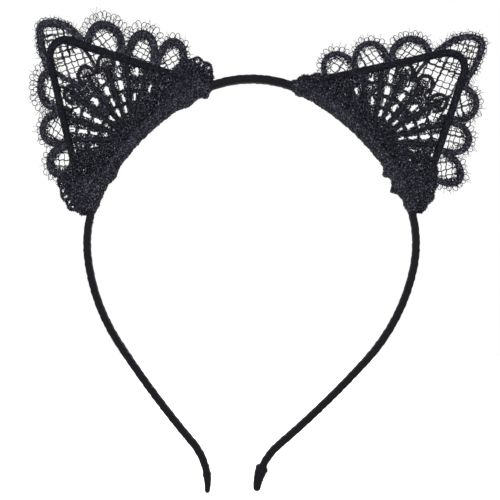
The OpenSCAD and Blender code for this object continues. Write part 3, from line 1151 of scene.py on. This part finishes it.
    def _fan_ground(self, many: int) -> None:
        """Makes the fan's stitched ground, as its back and its front face.

        Args:
            many: Number of stitches before those off the fan, or across a hole, are dropped.
        """
        rng = self.rng
        points = np.column_stack([rng.uniform(-38, 36, many), rng.uniform(-11, 34, many), np.zeros(many)])
        r, angle = self.fan_place(points)
        column = (angle - self.column_first) / self.column_step
        edge = self.fan_reach + 2.0 * np.cos(np.radians(column * 360 + 180))
        edge = np.where(np.abs(angle) > 62, 60, edge)
        ok = (r < edge) & self.in_panel(points, 0.8) & ~self.hole_map(points, 0.1)
        foot = points[:, 1] - self.plane.band_height(points[:, 0])
        corner = np.maximum(np.clip((np.abs(angle) - 50) / 20, 0, 1), np.clip((6.5 - foot) / 2.5, 0, 1))
        ok &= rng.random(many) < np.clip(0.80 - r / 60 + corner * 0.30, 0.35, 1)
        points, angle = points[ok], np.radians(angle[ok])
        n = len(points)
        spin = angle + np.where(rng.random(n) < 0.55, 0, math.pi / 2) + 0.45 * rng.standard_normal(n)
        along = np.column_stack([np.sin(spin), np.cos(spin), np.zeros(n)])
        keep = ~self.hole_map(points + along * 0.75, 0.35) & ~self.hole_map(points - along * 0.75, 0.35)
        bulk = 0.6 + 1.1 * corner[ok]
        points[:, 2] = rng.uniform(-0.9, 1.1, n) * bulk
        points, along, length = points[keep], along[keep], rng.uniform(1.1, 1.9, keep.sum())
        proud = points[:, 2] > np.median(points[:, 2])
        for name, face in (("fan_back", ~proud), ("fan_front", proud)):
            ground = Stitchwork()
            ground.stitches(points[face], along[face], FRONT, length[face], 0.2, 0.16)
            self.finish(self.make(ground, name, self.wardrobe.cord), "lace_cord")

    def _lobe(self, work: Stitchwork, at: float, reach: float) -> None:
        """Adds the small round petal at the end of a rib.

        Args:
            work: Where the petal goes.
            at: The rib's angle from straight up, in radians.
            reach: Distance of the rib's end from the fan's foot.
        """
        way = np.array([math.sin(at), math.cos(at), 0.0])
        side = np.array([math.cos(at), -math.sin(at), 0.0])
        t = np.linspace(-0.15 * math.pi, 1.15 * math.pi, 40)[:, None]
        middle = np.array([0, self.fan_foot, 0.5]) + way * (reach + 0.8)
        petal = middle + side * np.cos(t) * 3.1 + way * np.sin(t) * 3.6
        petal = petal[self.in_panel(petal, 1.0)]
        if len(petal) > 8:
            work.satin_cord(petal, 0.85, 0.5, self.rng, 0.4)
            self._speckle(work, petal * 0.55 + middle * 0.45, 0.75, 70)

    def build_net(self) -> None:
        """Makes the knotted net behind the windows of the panel, the scallops and the pointed loop."""
        work = Stitchwork()
        panel = np.array([self.feet[0], self.corner, self.feet[1]])
        self._weave(work, panel, 28.0, lambda points: self.fan_place(points)[0] > self.fan_reach - 3.5)
        for scallop in self.scallops:
            self._weave(work, self.arch(scallop)[:, :2], scallop.weave_turn)
        self._weave(work, self.apex_line()[:, :2], 35.0)
        self.net = self.finish(self.make(work, "net_ground", self.wardrobe.net), "net_lace", "net")

    def _weave(self, work: Stitchwork, outline: np.ndarray, turn: float,
               keep: Callable[[np.ndarray], np.ndarray] | None = None) -> None:
        """Fills an outline with two sets of thin threads that cross.

        Args:
            work: Where the threads go.
            outline: The window's outline.
            turn: The angle of the first set, in degrees.
            keep: Says which points to keep, if not all.
        """
        middle = outline.mean(0)
        size = np.abs(outline - middle).max() * 1.5
        for extra in (0, 84):
            a = math.radians(turn + extra)
            way, side = np.array([math.cos(a), math.sin(a)]), np.array([-math.sin(a), math.cos(a)])
            offset = -size
            while offset < size:
                offset += self.net_pitch * self.rng.uniform(0.72, 1.22)
                copies = (0, 0.42) if self.rng.random() < 0.28 else (0,)  # a few threads are doubled
                bow = self.rng.normal(0, 0.5)
                for shift in copies:
                    t = np.arange(-size, size, 0.55)
                    wave = bow * np.sin(t / size * 2) + 0.16 * np.sin(t * 2.4 + offset) + shift
                    line = middle + way * t[:, None] + side * (offset + wave)[:, None]
                    mask = inside(line, outline)
                    if keep is not None:
                        mask &= keep(line)
                    for first, last in stretches(mask):
                        first, last = max(0, first - 2), min(len(line), last + 2)
                        if last - first > 4:
                            high = 0.12 * np.sin(t[first:last] * 1.3) + (0.12 if extra else -0.12)
                            thread = np.column_stack([line[first:last], high])
                            work.tube(thread, self.net_half * self.rng.uniform(0.8, 1.25), sides=4)

    def build_border(self) -> None:
        """Makes the scallops' cords, the pointed loop and the cords that part the panel's windows."""
        work = Stitchwork()
        for scallop in self.scallops:
            work.satin_cord(self.arch(scallop), scallop.cord * self.plump, 0.75, self.rng)
            self._speckle(work, self.arch(scallop, -1.3 * self.plump)[4:-4], 0.5, 110)
        self.finish(self.make(work, "scallop_border", self.wardrobe.cord), "lace_cord", "scallop_cords")
        loop = Stitchwork()
        loop.satin_cord(self.apex_line(), self.apex_cord, 0.8, self.rng)
        self._speckle(loop, self.apex_line(-1.0), 0.6, 320)
        for bar in self.PLAIN_BARS:
            loop.satin_cord(smoothed(bar), 0.75, 0.5, self.rng, 0.45)
        for bar in self.bars:
            line = smoothed(bar)
            loop.satin_cord(line, 1.0, 0.55, self.rng, 0.42)
            self._speckle(loop, line, 0.8, 260)
        self.finish(self.make(loop, "apex_border", self.wardrobe.cord), "lace_cord", "apex_loop")

    def _speckle(self, work: Stitchwork, line: np.ndarray, spread: float, many: int) -> None:
        """Scatters loose stitches along a line.

        Args:
            work: Where the stitches go.
            line: The line.
            spread: How far they stray from it.
            many: Number of stitches.
        """
        at = line[self.rng.integers(0, len(line), many)]
        at = at + self.rng.normal(0, spread, (many, 3)) * [1, 1, 0.3]
        work.stitches(at, headings(self.rng.uniform(0, math.pi, many)), FRONT, 1.0, 0.13, 0.1)

    def build_fringe(self) -> None:
        """Makes the picot loops and the short loose ends round the border."""
        work = Stitchwork()
        for scallop in self.scallops:
            for row in range(scallop.fringe):
                self._picots(work, self.arch(scallop, scallop.cord * 0.7 + row * 1.7), 2.1, 2.0)
            self._lashes(work, self.arch(scallop, scallop.cord * 0.6), 1.8 + 1.6 * scallop.fringe)
        self._lashes(work, self.apex_line(1.0), 2.3)
        self._picots(work, self.apex_line(0.9)[18:-18], 1.7, 1.1)
        self.finish(self.make(work, "picot_edge", self.wardrobe.net), "lace_cord", "picot_fringe")

    def _outward(self, line: np.ndarray, runs: np.ndarray) -> np.ndarray:
        """Finds the directions away from the middle of the ear, square to a line.

        Args:
            line: Points of the line.
            runs: The line's direction at each.

        Returns:
            A direction for each point.
        """
        side = beside(runs)
        middle = np.array([self.corner[0], 25.0, 0.0])
        return side * np.sign(np.sum(side * (line - middle), 1, keepdims=True))

    def _picots(self, work: Stitchwork, line: np.ndarray, wide: float, tall: float) -> None:
        """Adds a row of little thread loops that stand on a line.

        Args:
            work: Where the loops go.
            line: The line.
            wide: Width of a loop.
            tall: Height of a loop.
        """
        spots, runs = evenly(line, wide * 0.8)
        out = self._outward(spots, runs)
        t = np.linspace(0, math.pi, 11)[:, None]
        for spot, run, away in zip(spots, runs, out):
            w, h = wide / 2 * self.rng.uniform(0.8, 1.2), tall * self.rng.uniform(0.7, 1.3)
            tip = self.rng.normal(0, 0.25)
            sideways = np.cos(t) * w * (1 + 0.25 * np.sin(t)) + tip * np.sin(t)
            loop = spot + run * sideways + away * np.sin(t) * h
            loop[:, 2] += 0.3 * np.sin(t[:, 0]) * self.rng.normal(0, 1)
            work.tube(loop, 0.12, sides=4)

    def _lashes(self, work: Stitchwork, line: np.ndarray, tall: float) -> None:
        """Adds short loose ends of thread that stick out from a line.

        Args:
            work: Where the ends go.
            line: The line.
            tall: How far the longest stick out.
        """
        spots, runs = evenly(line, 0.95)
        out = self._outward(spots, runs)
        t = np.linspace(0, 1, 6)[:, None]
        for spot, run, away in zip(spots, runs, out):
            h = tall * self.rng.uniform(0.35, 1.1)
            lean, curl = self.rng.normal(0, 0.35), self.rng.normal(0, 0.5)
            hair = spot + away * t * h + run * (lean * t * h + curl * t**2)
            hair[:, 2] += self.rng.normal(0, 0.35) * t[:, 0] * h
            work.tube(hair, np.linspace(0.1, 0.055, 6), sides=4)

    def build_base(self) -> None:
        """Makes the lace wrapped round the band, its sewing thread and the gathered corners."""
        plane = self.plane
        start, end = plane.run - 37.5, plane.run + 31.5

        def ruched(run: np.ndarray, turn: np.ndarray) -> Section:
            """Section of the wrap: shallow folds, and tufts on the head side.

            Args:
                run: Distances from the top of the crown.
                turn: Angles round the band, from its outer face.

            Returns:
                The section there.
            """
            share = (run - start) / (end - start)
            close = np.clip(np.minimum(share, 1 - share) / 0.035, 0.0, 1) ** 0.5
            fold = 0.13 * np.sin(run * 1.3 + 2.7 * np.sin(turn + run * 0.21))
            fold = fold + 0.08 * np.sin(run * 3.7 + 5 * turn)
            tuft = sum(tall * np.exp(-(((run - plane.run - at) / wide) ** 2))
                       for at, tall, wide in self.tufts)
            tuft = tuft * np.clip(-np.cos(turn), 0, 1)
            return 1.6 + close * (0.8 + fold + tuft), 2.8 + close * (0.7 + fold), np.zeros_like(fold) + 0.45

        wrap = Sleeve(plane.line, plane.side, start, end, 0.3, 28, 0.75).piece(
            self.named("band_wrap"), self.wardrobe.cord, ruched)
        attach(wrap, CROWN)
        stand_for(wrap, "net_lace", self.named("base_wrap"))
        cover = self._dress(wrap, "band_wrap_stitches", 6500)
        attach(cover, CROWN)
        self._sew()
        upper, lower = self.gathers
        self._gather("upper_gather", plane.run - 39.5, plane.run - 14.0, *upper)
        self._gather("lower_gather", plane.run + 10.0, plane.run + 33.0, *lower)
        self._hems()

    def _sew(self) -> None:
        """Makes the sewing thread that holds the wrap, as slanting stitches round it."""
        plane = self.plane
        thread = Stitchwork()
        for run in np.arange(plane.run - 30, plane.run + 28, 4.9):
            x, z, turn = plane.line.at(plane.side, np.array([run + self.rng.normal(0, 0.9)]))[0]
            t = np.linspace(0, FULL_TURN, 28, endpoint=False)
            slant = self.rng.uniform(0.8, 2.4) * np.sin(t + self.rng.normal(0, 0.4))
            out, deep = 2.5 * np.cos(t) + 0.35, 3.6 * np.sin(t)
            loop = np.column_stack([x + out * math.sin(turn) + slant * math.cos(turn), deep,
                                    z + out * math.cos(turn) - slant * math.sin(turn)])
            loop[:, 0] *= plane.side.value
            thread.tube(loop, 0.14, sides=6, closed=True,
                        up=np.array([plane.side.value * math.cos(turn), 0, -math.sin(turn)]))
        sewn = thread.piece(self.named("sewing_thread"), lambda points: points, self.wardrobe.sewing)
        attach(sewn, CROWN)
        stand_for(sewn, "sewing_thread", self.named("stitches"))

    def _hems(self) -> None:
        """Makes the frilled edges that fold out past the wire at the ear's two corners."""
        works = {-1: Stitchwork(), 1: Stitchwork()}
        for hem in self.hems:
            edge = smoothed(hem)
            edge[:, 0] += 0.45 * np.sin(np.arange(len(edge)) * 0.4 * FULL_TURN / self.frill)
            way = -1 if edge[:, 0].mean() < 0 else 1
            work = works[way]
            inner = np.array([self.leg_point(way, max(h, self.leg_foot(way)[1])) for h in edge[:, 1]])
            many = 120 * len(edge)
            row, deep = self.rng.integers(0, len(edge), many), self.rng.random(many) ** 0.8
            span = np.linalg.norm(inner - edge[:, :2], axis=1)[row]
            at = np.zeros((many, 3))
            at[:, :2] = edge[row, :2] + (inner[row] - edge[row, :2]) * deep[:, None]
            at[:, :2] += self.rng.normal(0, 0.25, (many, 2))
            bulk = 0.4 + 1.4 * np.sin(math.pi * np.clip(deep * 0.7, 0, 1))
            at[:, 2] = self.rng.uniform(-1, 1, many) * bulk
            between = np.sin(row * 0.4 * FULL_TURN / self.ladder) > -0.2
            at = at[~((np.abs(deep * span - 1.35) < 0.85) & between)]  # leaves out the row of small holes
            along = headings(self.rng.uniform(0, math.pi, len(at)))
            work.stitches(at, along, FRONT, self.rng.uniform(0.8, 1.5, len(at)), 0.16, 0.14)
            work.satin_cord(edge, 0.5, 0.45, self.rng, 0.4, 0.16)
            self._lashes(work, edge, 0.8)
        for name, work in (("upper_corner_frill", works[-1]), ("lower_corner_frill", works[1])):
            self.finish(self.make(work, name, self.wardrobe.cord), "net_lace")

    def _gather(self, name: str, first: float, last: float, rise: float, high: float, peak: float,
                blunt: float) -> None:
        """Makes one bunched corner of the lace, with its stitches.

        Args:
            name: The piece's name after the ear's.
            first: Run along the band at which it starts.
            last: Run at which it ends.
            rise: How far its middle lies outside the band's centre.
            high: Half its size outwards.
            peak: Share of its length at which it is fullest.
            blunt: Less than 1 for ends that stop short rather than taper.
        """
        def bunched(run: np.ndarray, turn: np.ndarray) -> Section:
            """Section of the bunch: fullest at its peak, with deep folds.

            Args:
                run: Distances from the top of the crown.
                turn: Angles round the band, from its outer face.

            Returns:
                The section there.
            """
            share = np.clip((run - first) / (last - first), 0, 1)
            power = math.log(0.5) / math.log(peak)
            full = np.sin(math.pi * share**power) ** blunt
            fold = 0.3 * np.sin(run * 1.9 + 2.2 * np.sin(turn) + self.seed)
            fold = fold + 0.22 * np.sin(4 * turn + run * 0.8) + 0.18 * np.sin(7 * turn - run * 1.7)
            return (0.4 + full * (high + 1.2 * fold), 0.4 + full**0.6 * (2.5 + fold), full * rise)

        lump = Sleeve(self.plane.line, self.plane.side, first, last, 0.35, 36, 0.9).piece(
            self.named(name + "_lace"), self.wardrobe.cord, bunched)
        self.finish(self._dress(lump, name + "_stitches", 5200), "net_lace")
        self.finish(lump, "net_lace", name)

    def _dress(self, skin: Object, name: str, many: int) -> Object:
        """Covers a skin with short raised stitches.

        Args:
            skin: The piece to cover.
            name: The new piece's name after the ear's.
            many: Number of stitches.

        Returns:
            The new piece, which rides on nothing yet.
        """
        mesh = skin.data
        count = len(mesh.polygons)
        area, middle, normal = np.empty(count), np.empty(count * 3), np.empty(count * 3)
        mesh.polygons.foreach_get("area", area)
        mesh.polygons.foreach_get("center", middle)
        mesh.polygons.foreach_get("normal", normal)
        middle, normal = middle.reshape(-1, 3) / MM, normal.reshape(-1, 3)
        area[-2:] = 0  # the two faces that close the ends
        pick = self.rng.choice(count, many, p=area / area.sum())
        loose = unit(np.cross(normal[pick], self.rng.standard_normal((many, 3))))
        at = middle[pick] + normal[pick] * self.rng.uniform(-0.02, 0.22, (many, 1))
        at += loose * self.rng.uniform(-0.3, 0.3, (many, 1))
        work = Stitchwork()
        work.stitches(at, loose, normal[pick], self.rng.uniform(0.7, 1.5, many), 0.16, 0.16)
        return work.piece(self.named(name), lambda points: points, self.wardrobe.cord)

    def build(self) -> None:
        """Makes every piece of the ear, in the order in which it is put together."""
        self.build_wire()
        self.build_net()
        self.build_fan()
        self.build_border()
        self.build_fringe()
        self.build_base()


# ---- Studio ----


@dataclass
class Studio:
    """Pale floor, soft light and the camera."""

    centre: tuple[float, float] = (-0.6, -63.7)  # X and Z at the middle of the view
    frame_width: float = 192.5
    lens: float = 100.0
    floor_height: float = -172.0

    def build(self) -> None:
        """Makes the floor, the lights and the camera."""
        scene = bpy.context.scene
        bpy.ops.mesh.primitive_circle_add(vertices=96, radius=0.9, fill_type="NGON",
                                          location=(0, 0, self.floor_height * MM))
        floor = bpy.context.object
        floor.name = "studio_floor"
        floor.data.materials.append(PaintedFloor().make())
        world = bpy.data.worlds.new("studio_air")
        world.use_nodes = True
        sky = world.node_tree.nodes["Background"]
        sky.inputs["Color"].default_value = linear("#ffffff")
        sky.inputs["Strength"].default_value = 1.0
        scene.world = world
        for name, place, size, power in (("key_light", (-0.45, -0.7, 0.35), 0.5, 9.0),
                                         ("fill_light", (0.6, -0.6, 0.1), 0.6, 5.0),
                                         ("rim_light", (0.1, 0.6, 0.5), 0.5, 5.0)):
            data = bpy.data.lights.new(name, "AREA")
            data.size, data.energy = size, power
            lamp = bpy.data.objects.new(name, data)
            lamp.location = place
            aim = Vector((0, 0, self.centre[1] * MM)) - Vector(place)
            lamp.rotation_euler = aim.to_track_quat("-Z", "Y").to_euler()
            scene.collection.objects.link(lamp)
        data = bpy.data.cameras.new("view_camera")
        data.lens = self.lens
        camera = bpy.data.objects.new("view_camera", data)
        away = self.frame_width * MM * self.lens / data.sensor_width
        camera.location = (self.centre[0] * MM, -away, self.centre[1] * MM)
        camera.rotation_euler = (math.pi / 2, 0, 0)
        scene.collection.objects.link(camera)
        scene.camera = camera
        scene.view_settings.view_transform = "Standard"
        log.info("studio ready")


LEFT_SCALLOPS = (
    Scallop(-1, 8.0, 13.5, 12.9, 20, 1, 1.35, -0.5), Scallop(-1, 18.4, 13.8, 12.3, -12, 2, 1.4, 0.5),
    Scallop(-1, 31.9, 17.2, 11.1, 12, 2, 1.45, 0.5), Scallop(1, 35.8, 15.6, 7.8, 62, 2, 1.25),
    Scallop(1, 23.4, 13.4, 10.6, 80, 1, 1.2), Scallop(1, 13.2, 12.8, 11.2, 45, 1, 1.3, -0.3),
)
RIGHT_SCALLOPS = (
    Scallop(-1, 8.9, 13.8, 9.6, 18, 1, 0.95, -1.0), Scallop(-1, 19.8, 15.0, 10.9, -8, 1, 1.0),
    Scallop(-1, 33.0, 16.4, 9.4, 14, 1, 1.1), Scallop(1, 34.6, 15.0, 9.4, 70, 1, 1.05),
    Scallop(1, 22.9, 13.8, 11.2, 40, 1, 1.05), Scallop(1, 12.9, 13.2, 12.6, 58, 1, 1.05, -2.0),
)
LEFT_APEX = ((-10.4, 40.6), (-9.6, 47.8), (-6.2, 53.6), (-2.0, 56.2), (0.9, 54.0), (4.3, 49.2),
             (5.6, 45.6), (7.6, 41.4))
RIGHT_APEX = ((-8.9, 41.0), (-8.7, 46.0), (-7.7, 50.7), (-5.3, 55.0), (-1.9, 57.9), (0.7, 57.6), (2.5, 55.0),
              (5.0, 50.0), (6.6, 44.6), (8.0, 41.0))
LEFT_HEMS = (((-31.0, 7.0), (-35.3, 6.2), (-39.6, 3.4), (-41.5, -1.0), (-41.0, -4.4), (-38.8, -6.4)),
             ((31.2, 12.0), (33.6, 9.5), (35.0, 5.6), (35.8, 2.2), (34.6, -1.4), (32.5, -4.6)))
RIGHT_HEMS = (((-30.0, 4.6), (-34.0, 1.2), (-37.0, -4.0)),
              ((24.2, 12.4), (27.2, 9.6), (30.6, 5.6), (32.3, 1.4), (32.6, -3.4)))


def main() -> None:
    """Builds the headband piece by piece."""
    logging.basicConfig(level=logging.INFO, format="%(message)s")
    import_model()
    Studio().build()
    line, wardrobe = BandLine(), Wardrobe()
    band = Band(line, wardrobe)
    band.build_crown()
    left = LaceEar(
        EarPlane(line, Side.LEFT, 8.5), wardrobe, 11, LEFT_SCALLOPS, apex=LEFT_APEX, hems=LEFT_HEMS,
        bars=(((5.6, 41.0), (4.4, 36.0), (2.2, 31.5), (1.0, 28.0)),), apex_cord=1.65,
        gathers=((3.6, 3.4, 0.42, 0.8), (5.2, 5.2, 0.68, 0.6)),
        tufts=((-34.0, 1.6, 2.2), (-26.5, 1.4, 3.0), (15.0, 1.1, 2.2)))
    right = LaceEar(
        EarPlane(line, Side.RIGHT, 1.0), wardrobe, 23, RIGHT_SCALLOPS, apex=RIGHT_APEX, hems=RIGHT_HEMS,
        apex_cord=1.35, gathers=((2.4, 2.6, 0.42, 1.0), (4.4, 4.6, 0.6, 1.0)),
        tufts=((-34.0, 0.6, 2.0), (13.5, 2.0, 1.8), (20.5, 2.6, 2.4)))
    for ear in (left, right):
        band.build_arm(ear.plane.side)
        ear.build()


if __name__ == "__main__":
    main()
